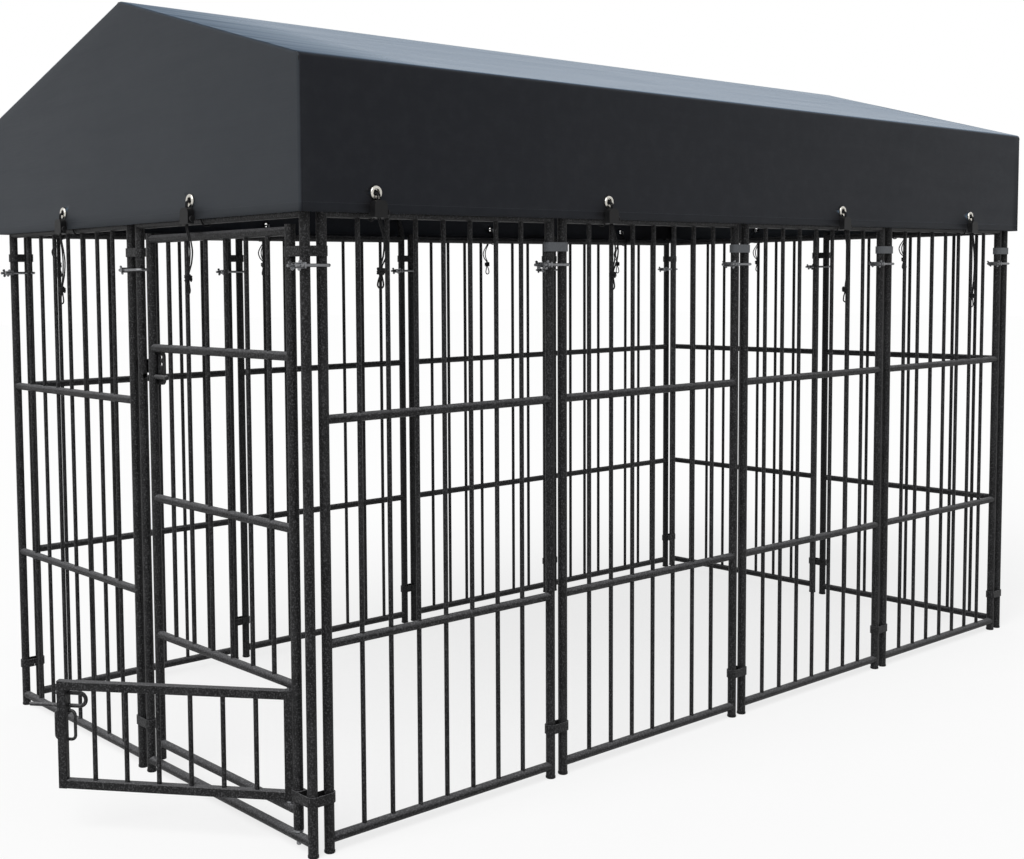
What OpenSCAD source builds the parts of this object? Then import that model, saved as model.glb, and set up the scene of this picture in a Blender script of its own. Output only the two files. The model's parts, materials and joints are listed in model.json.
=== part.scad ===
// Outdoor dog kennel run: welded bar panels, a door with a feeding door, and a gable rain cover.
// Lengths in mm, +Z up, the door end faces -X and the run's long side lies along X.

/* [Panels] */
// Distance from one panel to the next along a side
pitch = 800; // [600:5:1200]
// Distance between the two post axes where panels meet
post_gap = 48; // [44:1:80]
// Panels along each long side
side_panels = 4; // [2:1:6]
// Post tube diameter
post_d = 25; // [20:0.5:32]
// Post tube wall
post_wall = 1.2; // [1:0.1:2.5]
// Height of the post tops
post_top = 1525; // [1200:5:1900]
// Diameter of the top and bottom rails
end_rail_d = 24; // [18:0.5:30]
// Diameter of the two middle rails
mid_rail_d = 22; // [16:0.5:28]
// Diameter of the upright bars
bar_d = 12; // [8:0.5:16]
// Upright bars in a panel
bar_count = 7; // [5:1:9]
// Spacing of the upright bars
bar_step = 90; // [60:1:110]
// Height of the bottom rail axis
bottom_rail_z = 34; // [28:1:60]
// Height of the lower middle rail axis
low_rail_z = 500; // [300:5:700]
// Height of the upper middle rail axis
high_rail_z = 1030; // [800:5:1300]
// Height of the top rail axis
top_rail_z = 1508; // [1180:1:1880]
// Thickness of the foot under a post
foot_h = 6; // [4:0.5:12]
// Foot flange diameter
foot_d = 27; // [22:0.5:36]
// Length of a plug inside a post
plug_len = 26; // [15:1:40]
// Height of the cap on a post top
cap_h = 4; // [2:0.5:8]
// Gap all round a plug inside a post
plug_fit = 0.1; // [0.05:0.05:0.3]

/* [Junctions] */
// Thickness of a connecting strap
strap_t = 3; // [2:0.5:5]
// Height of a connecting strap
strap_h = 24; // [16:1:40]
// Gap between a strap and a post
strap_fit = 0.1; // [0.05:0.05:0.3]
// Height of the upper straps
upper_strap_z = 1434; // [1100:1:1700]
// Height of the upper strap at the door's hinge
hinge_strap_z = 1420; // [1414:1:1700]
// Thickness of the upper strap at the door's hinge
hinge_strap_t = 1.5; // [1:0.5:3]
// Height of the lower straps
lower_strap_z = 136; // [100:1:300]
// Height of the U bolts
clamp_z = 1387; // [1000:1:1650]
// Rod diameter of a U bolt
clamp_rod_d = 8; // [6:0.5:12]
// Gap between a U bolt and the posts
clamp_fit = 0.2; // [0.1:0.1:0.5]
// Reach of the U bolt ends past the first post axis
clamp_end = 37; // [34:1:60]
// Thickness of the saddle plate under the wing nuts
saddle_t = 5; // [3:0.5:6]
// Height of the saddle plate
saddle_h = 14; // [12:1:30]
// Width of the saddle plate past each U bolt leg
saddle_rim = 7; // [6:1:14]
// Gap round a U bolt leg in the saddle plate and the nuts
leg_fit = 0.1; // [0.05:0.05:0.3]
// Wing nut hub diameter
hub_d = 12.5; // [12:0.5:18]
// Wing nut hub length
hub_l = 9; // [5:0.5:10]
// Wing nut wing radius
wing_r = 4; // [3:0.5:6]
// Wing nut wing thickness
wing_t = 3; // [2:0.5:5]

/* [Main door] */
// Distance from each frame post to the door stile beside it
stile_gap = 57; // [48:1:80]
// Height of the lower stile ends
stile_low_z = 52; // [48:1:70]
// Height of the upper stile ends
stile_top_z = 1483; // [1150:1:1850]
// Diameter of the door rails
door_rail_d = 22; // [16:0.5:24]
// Height of the top door rail
door_top_z = 1467; // [1100:1:1840]
// Height of the second door rail
door_high_z = 1177; // [900:1:1400]
// Height of the third door rail
door_mid_z = 772; // [600:1:900]
// Height of the rail over the feeding door
door_low_z = 398; // [300:1:500]
// Height of the bottom door rail
door_bottom_z = 96; // [85:1:120]
// Upright bars in the door
door_bars = 6; // [4:1:8]
// Gap round a stile in its hinge strap
hinge_fit = 0.08; // [0.02:0.01:0.1]
// Diameter of the pin under the hinge stile
pivot_d = 12; // [8:0.5:16]
// Diameter of the pin inside the stile
pivot_plug_d = 16; // [12:0.5:18]
// Length of the pin inside the stile
pivot_plug_l = 30; // [20:1:50]
// Flange diameter of the pin
pivot_flange_d = 23; // [18:0.5:25]
// Gap between the pin flange and the threshold
pivot_lift = 0.3; // [0.2:0.1:1]
// Reach of the pin below the threshold
pivot_reach = 8; // [3:0.5:12]

/* [Door latch] */
// Height of the latch bolt
latch_z = 1100; // [900:1:1200]
// Latch bolt diameter
latch_d = 12; // [8:0.5:13]
// Gap round the latch bolt in the stile
latch_fit = 0.08; // [0.02:0.01:0.1]
// Gap round the latch bolt in the frame post
keeper_fit = 0.5; // [0.3:0.1:1.5]
// Travel of the latch bolt
latch_travel = 45; // [38:1:46]
// Diameter of the knob on the latch bolt
latch_knob_d = 14.8; // [13:0.2:15]
// Lower end of the padlock plate
lock_plate_z = 1079; // [900:1:1200]
// Height of the padlock plate
lock_plate_h = 90; // [60:1:120]
// Width of the padlock plate past the stile
lock_plate_w = 34; // [26:1:46]
// Thickness of the padlock plate
lock_plate_t = 4; // [3:0.5:4]
// Corner radius of the padlock plate
lock_plate_r = 15; // [5:1:17]
// Padlock hole diameter
lock_hole_d = 11; // [8:0.5:14]
// Distance from the stile axis to the padlock holes
lock_hole_y = 28; // [22:0.5:34]
// Height of the lower padlock hole
lock_hole_z = 1134; // [1120:1:1150]
// Spacing of the padlock holes
lock_hole_step = 19; // [16:1:24]
// Height of the strike plate
strike_z = 1126; // [900:1:1200]
// Height across the strike plate
strike_h = 38; // [30:1:50]
// Thickness of the strike plate
strike_t = 4; // [3:0.5:6]

/* [Feeding door] */
// Width of the square tube
feed_tube = 22; // [16:0.5:24]
// Corner radius of the square tube
feed_corner = 2.5; // [1:0.5:5]
// Distance from the main hinge stile to the feeding door's hinge stile
feed_hinge_gap = 33; // [30:0.5:45]
// Distance between the feeding door's stiles
feed_span = 572; // [400:1:575]
// Height of its top rail
feed_top_z = 370; // [300:1:450]
// Height of its bottom rail
feed_bottom_z = 124; // [118:1:160]
// Upright bars in the feeding door
feed_bars = 6; // [4:1:8]
// Angle at which the feeding door stands open
feed_rest = 41; // [0:1:80]
// Diameter of its hinge pins
feed_pin_d = 9; // [6:0.5:12]
// Gap round a hinge pin
feed_pin_fit = 0.06; // [0.02:0.01:0.1]
// Depth of a hinge pin in a rail
feed_pin_in = 12; // [8:0.5:15]
// Length of a hinge pin inside the stile
feed_pin_plug = 24; // [16:1:40]
// Gap between the thrust collar and the rail under it
collar_lift = 0.3; // [0.2:0.1:1]
// Diameter of the thrust collar
collar_d = 16; // [12:0.5:20]
// Rod diameter of the bolt
bolt_d = 10; // [6:0.5:12]
// Height of the bolt's lower leg
bolt_low_z = 313; // [200:1:330]
// Height between the two legs of the bolt
bolt_rise = 32; // [24:1:40]
// Reach of the bolt past the free stile axis
bolt_reach = 94; // [60:1:96]
// Reach of the bolt's short leg past the free stile axis
bolt_short = 24; // [18:1:40]
// Distance from the free stile axis to the loop end of the bolt
bolt_loop = 59; // [50:1:80]
// Tip diameter of the bolt
bolt_tip_d = 6; // [4:0.5:9]
// Tip bevel length of the bolt
bolt_bevel = 3; // [1:0.5:5]
// Distance from the door plane to the bolt
bolt_back = 18; // [17.8:0.1:22]
// Depth of the guide block behind the stile
guide_t = 14; // [12:0.5:18]
// Material of the guide block over and under the bolt
guide_rim = 9; // [6:0.5:14]
// Gap round the bolt in its guide
bolt_fit = 0.1; // [0.05:0.01:0.1]
// Rod diameter of the pull
pull_d = 8; // [5:0.5:10]
// Width of the pull between its legs
pull_w = 50; // [40:1:80]
// Height of the pull's pivot
pull_z = 300; // [200:1:301]
// Length of the pull below its pivot
pull_l = 76; // [50:1:110]
// Bend radius of the pull
pull_bend = 11; // [8:0.5:18]
// Depth of the pull's pivot block
pull_block_t = 13; // [12:0.5:18]
// Height of the pull's pivot block
pull_block_h = 16; // [13:0.5:22]
// Distance from the pull's rod to the stile face
pull_off = 3; // [1:0.5:6]
// Length of each pull end inside the block
pull_in = 9; // [5:0.5:10]
// Gap round the pull in its block
pull_fit = 0.08; // [0.02:0.01:0.1]

/* [Roof frame] */
// Diameter of the roof tubes
roof_tube_d = 22; // [16:0.5:22.2]
// Wall of a roof connector over the eave and ridge tubes
joint_wall = 3.4; // [2.5:0.1:5]
// How much a rafter socket is slimmer than the eave sleeve
socket_step = 0.5; // [0.2:0.1:1]
// Gap round a tube in a connector
joint_fit = 0.1; // [0.05:0.05:0.3]
// Length of a connector socket
socket_l = 52; // [35:1:80]
// Space between a tube end and the tube that it meets
butt_gap = 1; // [0.5:0.5:4]
// Depth of an upright in a post
spigot_l = 85; // [50:5:150]
// Straight part of an upright over the post
neck_h = 12; // [5:1:40]
// Height of the leaning length of an upright
neck_rise = 60; // [40:1:100]
// Diameter of the leaning length
lean_d = 21; // [16:0.5:21.5]

/* [Cover] */
// Distance from the post axes to the outside of the cover
cover_gap = 36; // [30:1:60]
// Thickness of the cover
cover_t = 1.5; // [1:0.1:3]
// Height of the lower edge of the cover
skirt_z = 1508; // [1200:1:1800]
// Height of the eaves
eave_z = 1860; // [1500:1:2200]
// Height of the ridge
ridge_z = 2102; // [1650:1:2600]
// Radius of the eaves
eave_r = 13; // [6:1:25]
// Radius of the ridge
ridge_r = 26; // [10:1:40]
// Gap between the cover and the roof frame
cover_fit = 0.3; // [0.2:0.1:0.6]

/* [Cord fastenings] */
// Height of the grommets
grommet_z = 1555; // [1525:1:1700]
// Places of the grommets along a long side
side_grommets = [180, 990, 2110, 2920];
// Distance of the end grommets from the middle of an end
end_grommet = 348; // [200:1:600]
// Extra length of each cord tail along the near side
near_tails = [0, 13, 67, 100];
// Extra length of each cord tail along the far side
far_tails = [-40, -40, -40, -40];
// Extra length of each cord tail at the door end
door_tails = [38, 10];
// Extra length of each cord tail at the rear
rear_tails = [-40, -40];
// Diameter over the grommet ring
grommet_d = 34; // [28:0.5:40]
// Thickness of the grommet ring
ring_d = 9; // [6:0.5:9]
// Distance from the cover to the middle of the grommet ring
ring_rise = 2.5; // [1:0.5:4]
// Grommet bore diameter
grommet_bore = 15; // [12:0.5:20]
// Grommet barrel wall
grommet_wall = 1.5; // [1:0.1:3]
// Thickness of the grommet flange inside the cover
grommet_t = 1.2; // [0.8:0.1:2]
// Gap between the grommet and the cover
grommet_fit = 0.05; // [0.05:0.05:0.2]
// Elastic cord diameter
cord_d = 4; // [3:0.5:4]
// Distance from the cover to the middle of a cord lock
lock_out = 13; // [12.5:0.5:20]
// Height of a cord lock
lock_h = 41; // [30:1:50]
// Width of a cord lock
lock_w = 38; // [37:0.5:44]
// Depth of a cord lock
lock_t = 18; // [16:0.5:18]
// Radius of a cord lock's shoulders
lock_top_r = 13; // [6:0.5:18]
// Radius of a cord lock's lower corners
lock_r = 4; // [2:0.5:7]
// Top of a cord lock below the grommet axis
lock_drop = 18; // [17.5:0.5:24]
// Plunger axis below the grommet axis
plunger_drop = 46; // [38:0.5:50]
// Plunger diameter
plunger_d = 12; // [8:0.5:13]
// Gap round the plunger
plunger_fit = 0.1; // [0.05:0.01:0.1]
// Button head diameter
button_d = 15; // [12:0.5:16]
// Button head thickness
button_t = 4; // [3:0.5:6]
// Travel of the button
button_travel = 4; // [2:0.5:4]
// Length of the spring behind the plunger
spring_l = 7.5; // [6:0.5:10]
// Closed end wall of a cord lock
lock_end = 2.5; // [2:0.5:4]
// Spring diameter
spring_d = 9; // [6:0.5:11]
// Half length of the cord slot along the plunger
slot_half = 5.6; // [5.2:0.1:6.5]
// Width of the cord slot
slot_w = 5.2; // [4.6:0.1:6]
// Knot ring radius
knot_r = 8.3; // [8.2:0.1:9]
// Knot ring thickness
knot_d = 6; // [4:0.5:7]

/* [Output] */
// Sub-part to draw

/* [Hidden] */
$fn = 48;
panel_w = pitch - post_gap;
run_l = side_panels * pitch + post_gap;
run_w = 2 * panel_w + post_gap;
post_r = post_d / 2;
bore_r = post_r - post_wall;
hinge_y = stile_gap;
latch_y = panel_w - stile_gap;
feed_y = hinge_y + feed_hinge_gap;
feed_half = feed_tube / 2;
bolt_tip_s = feed_span + bolt_reach;
clamp_off = post_r + clamp_fit + clamp_rod_d / 2;
saddle_x = -post_r - clamp_fit - saddle_t;
joint_r = roof_tube_d / 2 + joint_wall;
slope = atan((ridge_z - eave_z) / (run_w / 2 + cover_gap));
roof_in = joint_r + cover_fit;
neck_out = cover_gap - cover_t - roof_in;
eave_y = -neck_out;
ridge_sink = max(0, (ridge_r - cover_t - roof_in) * (1 / cos(slope) - 1));
axis_drop = (cover_t + roof_in) / cos(slope) + ridge_sink;
eave_axis_z = eave_z + (cover_gap - neck_out) * tan(slope) - axis_drop;
ridge_axis_z = ridge_z - axis_drop;
rafter_l = (run_w / 2 + neck_out) / cos(slope);
tube_r = roof_tube_d / 2;
frame_x = [-neck_out, 2 * pitch, run_l + neck_out];
frame_post_x = [0, 2 * pitch, run_l];
pull_n = feed_half + pull_off + pull_d / 2;
front_reach = bolt_tip_s * sin(feed_rest) - (bolt_back - bolt_tip_d / 2) * cos(feed_rest);
rear_reach = run_l + cover_gap + ring_rise + ring_d / 2;
x0 = -(rear_reach - front_reach) / 2;
y0 = -run_w / 2;
cord_sides = 8;
// Route of a cord from the grommet: along the cover, away from it, and upwards
cord_route = [
  [-4, -9, 0], [-4, -3, 0], [-4, 3, 0], [-3.8, 8, -1.3], [-3.4, 11.7, -5], [-3, 13, -10],
  [-3, 13, -22], [-3, 13, -40], [-3, 13, -59], [-0.5, 14, -70], [5, 14, -84], [10.5, 14, -100],
  [13.5, 14, -122], [10.5, 14, -146], [6, 14, -160], [1.5, 14, -172], [0, 14, -192],
  [-4.6, 14, -203], [-7.3, 14, -214], [-4.7, 14, -220.2], [1.5, 14, -222.8], [7.7, 14, -220.2],
  [10.3, 14, -214], [8.2, 14, -203], [6, 14, -192], [6.5, 14, -172], [13, 14, -160],
  [20.5, 14, -146], [25, 14, -122], [19.5, 14, -100], [12, 14, -84], [5.5, 14, -70], [3, 13, -59],
  [3, 13, -40], [3, 13, -22], [3, 13, -10], [3.4, 11.7, -5], [3.8, 8, -1.3], [4, 3, 0], [4, -3, 0],
  [4, -9, 0], [7, -18, -5], [11, -27, -17], [15, -36, -31], [15, -47, -35], [15, -52, -47],
  [16, -47, -59], [16, -36, -63], [15, -25, -59], [12, -20, -46], [6, -18, -31], [0, -15, -18],
  [-3, -12, -8]
];
// Start and end of the length of a tail that takes up its extra length
tail_top = -59;
tail_end = -172;
knot_t = 3;
knot_o = 14;
knot_turns = [-189.2, -183, -176.8];
buttons_near = [for (i = [0:3]) str("lock_button_right_", i + 1)];
buttons_far = [for (i = [0:3]) str("lock_button_left_", i + 1)];
buttons_end = ["lock_button_front_1", "lock_button_front_2", "lock_button_rear_1", "lock_button_rear_2"];

// Shared placing helpers

// Build frame with its origin at the door end's near corner post
module place() {
  translate([x0, y0, 0])
    children();
}

// Side frame: 0 near side, 1 rear end, 2 far side, 3 door end; +x runs rightwards seen from outside
module side(i) {
  corner = [[0, 0], [run_l, 0], [run_l, run_w], [0, run_w]][i];
  place()
    translate([corner[0], corner[1], 0])
      rotate([0, 0, 90 * i])
        children();
}

// Every junction, with its first post at the origin
module junctions(skip_first = false) {
  for (s = [0, 2])
    for (k = [0:side_panels])
      if (!(skip_first && s == 0 && k == 0))
        side(s)
          translate([k * pitch, 0, 0])
            children();
  for (s = [1, 3])
    side(s)
      translate([panel_w, 0, 0])
        children();
}

// Every junction, turned end for end on the far side and the rear
module clamp_places() {
  for (k = [0:side_panels]) {
    side(0)
      translate([k * pitch, 0, clamp_z])
        children();
    side(2)
      translate([k * pitch + post_gap, 0, clamp_z])
        mirror([1, 0, 0])
          children();
  }
  side(1)
    translate([pitch, 0, clamp_z])
      mirror([1, 0, 0])
        children();
  side(3)
    translate([panel_w, 0, clamp_z])
      children();
}

// Feeding door frame with its hinge axis at the origin, the door along +y, as it stands open
module feed_place(angle = feed_rest) {
  place()
    translate([0, feed_y, 0])
      rotate([0, 0, angle])
        children();
}

// Place of one grommet: the cover's face at the origin, -y pointing outwards
module grommet_place(s, x) {
  side(s)
    translate([x, -cover_gap, grommet_z])
      children();
}

function end_spots() = [run_w / 2 - end_grommet, run_w / 2 + end_grommet];
function far_spots() = [for (x = side_grommets) run_l - x];

module all_grommets() {
  for (x = side_grommets)
    grommet_place(0, x)
      children();
  for (x = far_spots())
    grommet_place(2, x)
      children();
  for (s = [1, 3])
    for (x = end_spots())
      grommet_place(s, x)
        children();
}

module rod_x(d, a, b) {
  translate([a, 0, 0])
    rotate([0, 90, 0])
      cylinder(d = d, h = b - a);
}

module rod_y(d, a, b) {
  translate([0, a, 0])
    rotate([-90, 0, 0])
      cylinder(d = d, h = b - a);
}

// Panels

module post_tube(x) {
  translate([x, 0, foot_h])
    cylinder(d = post_d, h = post_top - foot_h);
}

module post_bore(x) {
  translate([x, 0, foot_h - 1])
    cylinder(r = bore_r, h = post_top - foot_h + 2);
}

module panel() {
  difference() {
    union() {
      post_tube(0);
      post_tube(panel_w);
      for (z = [bottom_rail_z, top_rail_z])
        translate([0, 0, z])
          rod_x(end_rail_d, 0, panel_w);
      for (z = [low_rail_z, high_rail_z])
        translate([0, 0, z])
          rod_x(mid_rail_d, 0, panel_w);
      for (i = [0:bar_count - 1])
        translate([panel_w / 2 + (i - (bar_count - 1) / 2) * bar_step, 0, bottom_rail_z])
          cylinder(d = bar_d, h = top_rail_z - bottom_rail_z);
    }
    post_bore(0);
    post_bore(panel_w);
  }
}

module coat() {
  color([0.07, 0.07, 0.075])
    children();
}

module zinc() {
  color([0.7, 0.71, 0.72])
    children();
}

module side_panel(s, k) {
  coat()
    side(s)
      translate([post_gap + k * pitch, 0, 0])
        panel();
}

module end_panel(s, k) {
  coat()
    side(s)
      translate([k * pitch, 0, 0])
        panel();
}

module right_panel_1() side_panel(0, 0);
module right_panel_2() side_panel(0, 1);
module right_panel_3() side_panel(0, 2);
module right_panel_4() side_panel(0, 3);
module left_panel_1() side_panel(2, 3);
module left_panel_2() side_panel(2, 2);
module left_panel_3() side_panel(2, 1);
module left_panel_4() side_panel(2, 0);
module rear_panel_1() end_panel(1, 0);
module rear_panel_2() end_panel(1, 1);
module front_panel() end_panel(3, 0);

// Door frame: two posts, a top rail and a threshold, with the pivot bore and the latch bore
module door_frame() {
  coat()
    side(3)
      translate([pitch, 0, 0])
        difference() {
          union() {
            post_tube(0);
            post_tube(panel_w);
            for (z = [bottom_rail_z, top_rail_z])
              translate([0, 0, z])
                rod_x(end_rail_d, 0, panel_w);
          }
          post_bore(0);
          post_bore(panel_w);
          translate([panel_w - stile_gap, 0, 0])
            cylinder(d = pivot_d + 2 * hinge_fit, h = 2 * bottom_rail_z);
          translate([0, 0, latch_z])
            rod_x(latch_d + 2 * keeper_fit, 0, post_d);
        }
}

// Posts in a row: each panel has one at either end
module all_posts() {
  for (s = [0, 2])
    for (k = [0:side_panels - 1])
      for (e = [0, panel_w])
        side(s)
          translate([post_gap + k * pitch + e, 0, 0])
            children();
  for (s = [1, 3])
    for (k = [0, 1])
      for (e = [0, panel_w])
        side(s)
          translate([k * pitch + e, 0, 0])
            children();
}

module foot_plugs() {
  color([0.05, 0.05, 0.05])
    all_posts()
      union() {
        cylinder(d1 = foot_d - 3, d2 = foot_d, h = 1.5);
        translate([0, 0, 1.5])
          cylinder(d = foot_d, h = foot_h - 1.5);
        translate([0, 0, foot_h])
          cylinder(r = bore_r - plug_fit, h = plug_len);
      }
}

module cap_plug() {
  translate([0, 0, post_top - plug_len])
    cylinder(r = bore_r - plug_fit, h = plug_len);
  translate([0, 0, post_top])
    cylinder(d = post_d, h = cap_h - 1);
  translate([0, 0, post_top + cap_h - 1])
    cylinder(d1 = post_d, d2 = post_d - 3, h = 1);
}

// Caps on the posts that carry no roof upright
module top_plugs() {
  color([0.05, 0.05, 0.05]) {
    for (s = [0, 2])
      for (k = [0:side_panels - 1])
        for (e = [0, panel_w])
          if (upright_free(s, post_gap + k * pitch + e))
            side(s)
              translate([post_gap + k * pitch + e, 0, 0])
                cap_plug();
    for (s = [1, 3])
      for (x = [panel_w, pitch])
        side(s)
          translate([x, 0, 0])
            cap_plug();
  }
}

function upright_free(s, x) = abs((s == 0 ? x : run_l - x) - frame_post_x[1]) > 1;

// Junction hardware

// Oblong bent strap round two posts, seam on the inner side
module strap(z) {
  out_r = post_r + strap_fit + strap_t;
  in_r = post_r + strap_fit;
  translate([0, 0, z - strap_h / 2])
    linear_extrude(height = strap_h)
      difference() {
        union() {
          circle(r = out_r);
          translate([post_gap, 0])
            circle(r = out_r);
          translate([0, -out_r])
            square([post_gap, 2 * out_r]);
        }
        circle(r = in_r);
        translate([post_gap, 0])
          circle(r = in_r);
        translate([0, -in_r])
          square([post_gap, 2 * in_r]);
        translate([post_gap / 2 - 1, 0])
          square([2, 2 * out_r]);
      }
}

module upper_straps() {
  coat()
    junctions(true)
      strap(upper_strap_z);
}

module lower_straps() {
  coat()
    junctions(true)
      strap(lower_strap_z);
}

// Corner strap with an arm that carries the main door's hinge stile
module hinge_strap(z, t) {
  out_r = post_r + strap_fit + t;
  in_r = post_r + strap_fit;
  translate([0, 0, z - strap_h / 2])
    linear_extrude(height = strap_h)
      difference() {
        union() {
          circle(r = out_r);
          translate([post_gap, 0])
            circle(r = out_r);
          translate([0, -out_r])
            square([post_gap, 2 * out_r]);
          translate([0, hinge_y])
            circle(r = out_r);
          translate([-out_r, 0])
            square([2 * out_r, hinge_y]);
        }
        circle(r = in_r);
        translate([post_gap, 0])
          circle(r = in_r);
        translate([0, -in_r])
          square([post_gap, 2 * in_r]);
        translate([-in_r, 0])
          square([2 * in_r, hinge_y - out_r]);
        translate([0, hinge_y])
          circle(r = post_r + hinge_fit);
      }
}

module door_hinge_straps() {
  coat()
    place() {
      hinge_strap(hinge_strap_z, hinge_strap_t);
      hinge_strap(lower_strap_z, strap_t);
    }
}

// U bolt bent round the second post, its legs along both faces of the posts
module u_bolts() {
  zinc()
    clamp_places()
      union() {
        for (m = [-1, 1])
          translate([0, m * clamp_off, 0])
            rod_x(clamp_rod_d, -clamp_end, post_gap);
        translate([post_gap, 0, 0])
          rotate([0, 0, -90])
            rotate_extrude(angle = 180)
              translate([clamp_off, 0])
                circle(d = clamp_rod_d);
      }
}

module saddle_plates() {
  zinc()
    clamp_places()
      difference() {
        translate([saddle_x, -clamp_off - saddle_rim, -saddle_h / 2])
          cube([saddle_t, 2 * (clamp_off + saddle_rim), saddle_h]);
        for (m = [-1, 1])
          translate([0, m * clamp_off, 0])
            rod_x(clamp_rod_d + 2 * leg_fit, saddle_x - 1, saddle_x + saddle_t + 1);
      }
}

module wing_nut() {
  difference() {
    union() {
      rod_x(hub_d, -hub_l, 0);
      for (m = [-1, 1])
        translate([-hub_l, -wing_t / 2, m * (hub_d / 2 + wing_r * 0.6)])
          rotate([-90, 0, 0])
            cylinder(r = wing_r, h = wing_t);
    }
    rod_x(clamp_rod_d + 2 * leg_fit, -hub_l - wing_r - 1, 1);
    translate([0, -hub_d, -2 * hub_d])
      cube([hub_d, 2 * hub_d, 4 * hub_d]);
  }
}

module wing_nuts() {
  zinc()
    clamp_places()
      for (m = [-1, 1])
        translate([saddle_x, m * clamp_off, 0])
          rotate([m < 0 ? 14 : -32, 0, 0])
            wing_nut();
}

module strike_plate() {
  coat()
    place()
      translate([post_r + 0.2, 0, strike_z])
        rotate([90, 0, 90])
          linear_extrude(height = strike_t)
            union() {
              translate([panel_w, 0])
                circle(d = strike_h);
              translate([pitch, 0])
                circle(d = strike_h);
              translate([panel_w, -strike_h / 2])
                square([post_gap, strike_h]);
            }
}

// Main door

module lock_plate() {
  edge = latch_y - post_r - lock_plate_w;
  translate([post_r - 0.5 - lock_plate_t, 0, 0])
    rotate([90, 0, 90])
      linear_extrude(height = lock_plate_t)
        difference() {
          union() {
            translate([edge + lock_plate_r, lock_plate_z])
              square([latch_y - 4 - edge - lock_plate_r, lock_plate_h]);
            translate([edge, lock_plate_z + lock_plate_r])
              square([lock_plate_r, lock_plate_h - 2 * lock_plate_r]);
            for (z = [lock_plate_z + lock_plate_r, lock_plate_z + lock_plate_h - lock_plate_r])
              translate([edge + lock_plate_r, z])
                circle(r = lock_plate_r);
          }
          for (i = [0, 1])
            translate([latch_y - lock_hole_y, lock_hole_z + i * lock_hole_step])
              circle(d = lock_hole_d);
        }
}

module door() {
  coat()
    place()
      difference() {
        union() {
          for (y = [hinge_y, latch_y])
            translate([0, y, stile_low_z])
              cylinder(d = post_d, h = stile_top_z - stile_low_z);
          for (z = [door_top_z, door_high_z, door_mid_z, door_low_z, door_bottom_z])
            translate([0, 0, z])
              rod_y(door_rail_d, hinge_y, latch_y);
          for (i = [1:door_bars])
            translate([0, hinge_y + i * (latch_y - hinge_y) / (door_bars + 1), door_low_z])
              cylinder(d = bar_d, h = door_top_z - door_low_z);
          lock_plate();
        }
        translate([0, hinge_y, stile_low_z - 1])
          cylinder(d = pivot_plug_d, h = pivot_plug_l + 1);
        translate([0, 0, latch_z])
          rod_y(latch_d + 2 * latch_fit, latch_y - post_d, latch_y + post_d);
        translate([0, feed_y, door_low_z - door_rail_d])
          cylinder(d = feed_pin_d + 2 * feed_pin_fit, h = door_rail_d / 2 + feed_pin_in + 1);
        translate([0, feed_y, door_bottom_z + door_rail_d / 2 - feed_pin_in - 1])
          cylinder(d = feed_pin_d + 2 * feed_pin_fit, h = door_rail_d);
      }
}

// Stepped pin: plug in the stile, flange over the threshold, pin through it
module door_pivot_pin() {
  rail_top = bottom_rail_z + end_rail_d / 2;
  rail_low = bottom_rail_z - end_rail_d / 2;
  zinc()
    place()
      translate([0, hinge_y, 0]) {
        translate([0, 0, rail_low - pivot_reach])
          cylinder(d1 = pivot_d - 4, d2 = pivot_d, h = 2);
        translate([0, 0, rail_low - pivot_reach + 2])
          cylinder(d = pivot_d, h = rail_top + pivot_lift - rail_low + pivot_reach - 2);
        translate([0, 0, rail_top + pivot_lift])
          cylinder(d = pivot_flange_d, h = stile_low_z - rail_top - pivot_lift);
        translate([0, 0, stile_low_z])
          cylinder(d = pivot_plug_d, h = pivot_plug_l);
      }
}

// Round bolt through the latch stile, drawn back; its knob stands on the hinge side
module latch_bolt() {
  tip = latch_y + post_r - 0.5;
  knob = latch_y - post_r - 0.6 - latch_travel - latch_knob_d / 2;
  zinc()
    place()
      translate([0, 0, latch_z]) {
        rod_y(latch_d, knob, tip);
        translate([0, knob, 0])
          sphere(d = latch_knob_d);
      }
}

// Feeding door

module square_tube(l) {
  inner = feed_tube - 2 * feed_corner;
  linear_extrude(height = l)
    union() {
      square([feed_tube, inner], center = true);
      square([inner, feed_tube], center = true);
      for (a = [-1, 1])
        for (b = [-1, 1])
          translate([a * inner / 2, b * inner / 2])
            circle(r = feed_corner);
    }
}

module feed_door() {
  low = feed_bottom_z - feed_half;
  high = feed_top_z + feed_half;
  coat()
    feed_place()
      difference() {
        union() {
          for (s = [0, feed_span])
            translate([0, s, low])
              square_tube(high - low);
          for (z = [feed_bottom_z, feed_top_z])
            translate([0, 0, z])
              rotate([-90, 0, 0])
                square_tube(feed_span);
          for (i = [1:feed_bars])
            translate([0, i * feed_span / (feed_bars + 1), feed_bottom_z])
              cylinder(d = bar_d, h = feed_top_z - feed_bottom_z);
          translate([feed_half - 0.5, feed_span - feed_half, bolt_low_z - bolt_d / 2 - guide_rim])
            cube([guide_t + 0.5, feed_tube, bolt_rise + bolt_d + 2 * guide_rim]);
          translate([feed_half - 0.5, feed_span - feed_half, pull_z - pull_block_h / 2])
            cube([pull_block_t + 0.5, feed_tube, pull_block_h]);
        }
        for (z = [bolt_low_z, bolt_low_z + bolt_rise])
          translate([bolt_back, 0, z])
            rod_y(bolt_d + 2 * bolt_fit, feed_span - feed_tube, feed_span + feed_tube);
        translate([pull_n, 0, pull_z])
          rod_y(pull_d + 2 * pull_fit, feed_span - feed_tube, feed_span + feed_tube);
        for (z = [low - 1, high - feed_pin_plug])
          translate([0, 0, z])
            cylinder(d = feed_pin_d, h = feed_pin_plug + 1);
      }
}

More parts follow.
